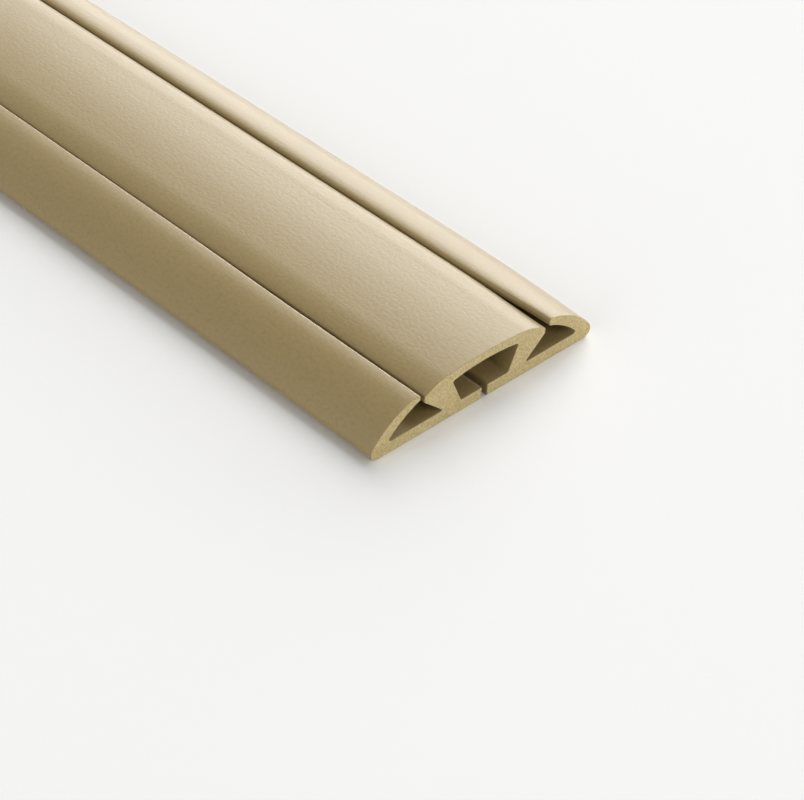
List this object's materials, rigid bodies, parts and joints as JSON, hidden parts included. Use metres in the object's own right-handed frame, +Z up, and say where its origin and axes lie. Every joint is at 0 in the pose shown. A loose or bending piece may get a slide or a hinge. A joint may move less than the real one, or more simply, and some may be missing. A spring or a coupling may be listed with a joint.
{
  "type": "cord cover raceway",
  "caption": "Low domed floor cord cover, one length of soft tan extrusion, with a cord channel under the dome that opens through a floor slit and a flap-closed channel along each side.",
  "frame": {"origin": "middle of the flat underside, half way along the length", "axes": "+X along the length, +Y across the width, +Z up from the floor"},
  "size_m": [1, 0.065, 0.0122],
  "materials": {
    "tan_vinyl": "soft matte tan vinyl with a fine grain, finely cellular on the cut ends"
  },
  "bodies": {
    "root": {"cord_cover": "tan_vinyl"}
  },
  "joints": []
}
